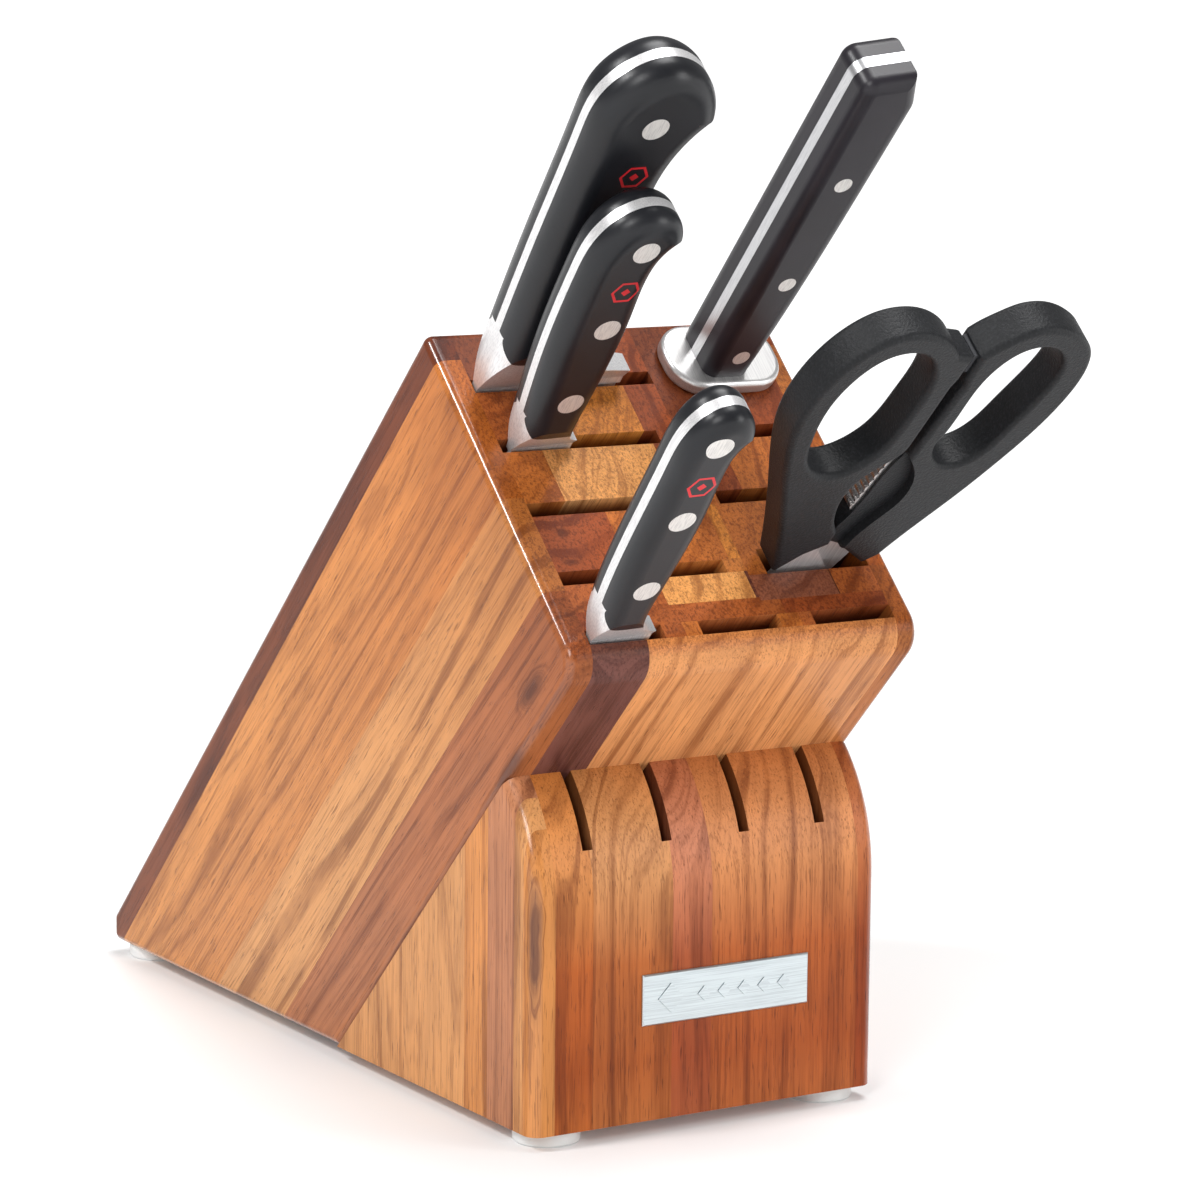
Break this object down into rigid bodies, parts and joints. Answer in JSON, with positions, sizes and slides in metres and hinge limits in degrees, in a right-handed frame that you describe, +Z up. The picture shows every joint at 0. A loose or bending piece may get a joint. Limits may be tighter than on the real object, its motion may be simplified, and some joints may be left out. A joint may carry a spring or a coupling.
{
  "type": "knife block with knives",
  "caption": "Slanted wooden knife block on a slotted foot, holding forged knives, a honing steel and kitchen shears that all pull out.",
  "frame": {"origin": "middle of the overall box, on the surface that the rubber feet stand on", "axes": "+Z up, +X across the block to the right as seen from the handles, -Y towards the handles; the slots rise forward at 45 degrees"},
  "size_m": [0.1472, 0.3742, 0.3188],
  "materials": {
    "wood_side": "clear lacquer, satin gloss",
    "wood_core": "clear lacquer, satin gloss, end grain on the slot face",
    "wood_foot": "clear lacquer, satin gloss",
    "plate": "brushed",
    "white_rubber": "matte",
    "fastener": "plain",
    "blade_steel": "ground and brushed",
    "handle_black": "satin",
    "rivet_metal": "satin",
    "red_inlay": "satin",
    "rod_steel": "finely ridged",
    "guard_steel": "brushed",
    "shears_plastic": "fine spark-eroded texture",
    "grip_metal": "toothed",
    "bumper_rubber": "matte"
  },
  "bodies": {
    "block": {"left_cheek": "wood_side", "right_cheek": "wood_side", "back_board": "wood_core", "second_board": "wood_core", "third_board": "wood_core", "fourth_board_left": "wood_core", "fourth_board_right": "wood_core", "fifth_board_left": "wood_core", "fifth_board_right": "wood_core", "front_board": "wood_core", "second_row_spacers": "wood_core", "third_row_spacers": "wood_core", "fourth_row_spacer": "wood_core", "shears_slot_spacer": "wood_core", "front_row_spacers": "wood_core", "steel_stave": "wood_core", "foot_stave_1": "wood_foot", "foot_stave_2": "wood_foot", "foot_stave_3": "wood_foot", "foot_stave_4": "wood_foot", "foot_stave_5": "wood_foot", "foot_fillers": "wood_foot", "name_plate": "plate", "rubber_feet": "white_rubber", "foot_screws": "fastener"},
    "chef_knife": {"chef_knife_blade": "blade_steel", "chef_knife_front_scale": "handle_black", "chef_knife_back_scale": "handle_black", "chef_knife_rivets": "rivet_metal", "chef_knife_inlay": "red_inlay"},
    "utility_knife": {"utility_knife_blade": "blade_steel", "utility_knife_front_scale": "handle_black", "utility_knife_back_scale": "handle_black", "utility_knife_rivets": "rivet_metal", "utility_knife_inlay": "red_inlay"},
    "paring_knife": {"paring_knife_blade": "blade_steel", "paring_knife_front_scale": "handle_black", "paring_knife_back_scale": "handle_black", "paring_knife_rivets": "rivet_metal", "paring_knife_inlay": "red_inlay"},
    "honing_steel": {"steel_rod": "rod_steel", "steel_guard": "guard_steel", "steel_front_scale": "handle_black", "steel_back_scale": "handle_black", "steel_rivets": "rivet_metal"},
    "shears_left_half": {"shears_blade_left": "blade_steel", "shears_handle_left": "shears_plastic", "shears_grip_left": "grip_metal", "shears_pivot": "fastener", "shears_bumper_left": "bumper_rubber"},
    "shears_right_half": {"shears_blade_right": "blade_steel", "shears_handle_right": "shears_plastic", "shears_grip_right": "grip_metal", "shears_bumper_right": "bumper_rubber"}
  },
  "joints": [
    {"name": "chef_knife_slide", "type": "slide", "parent": "block", "child": "chef_knife", "axis": [-0.061, -0.7058, 0.7058], "range_m": [0, 0.205]},
    {"name": "utility_knife_slide", "type": "slide", "parent": "block", "child": "utility_knife", "axis": [-0.0698, -0.7054, 0.7054], "range_m": [0, 0.125]},
    {"name": "paring_knife_slide", "type": "slide", "parent": "block", "child": "paring_knife", "axis": [-0.0698, -0.7054, 0.7054], "range_m": [0, 0.095]},
    {"name": "honing_steel_slide", "type": "slide", "parent": "block", "child": "honing_steel", "axis": [0, -0.7071, 0.7071], "range_m": [0, 0.235]},
    {"name": "shears_slide", "type": "slide", "parent": "block", "child": "shears_left_half", "axis": [0, -0.7071, 0.7071], "range_m": [0, 0.1]},
    {"name": "shears_pivot_hinge", "type": "hinge", "parent": "shears_left_half", "child": "shears_right_half", "pos_m": [0.0249, -0.08519, 0.15695], "axis": [0, 0.7071, 0.7071], "range_deg": [0, 7]}
  ]
}
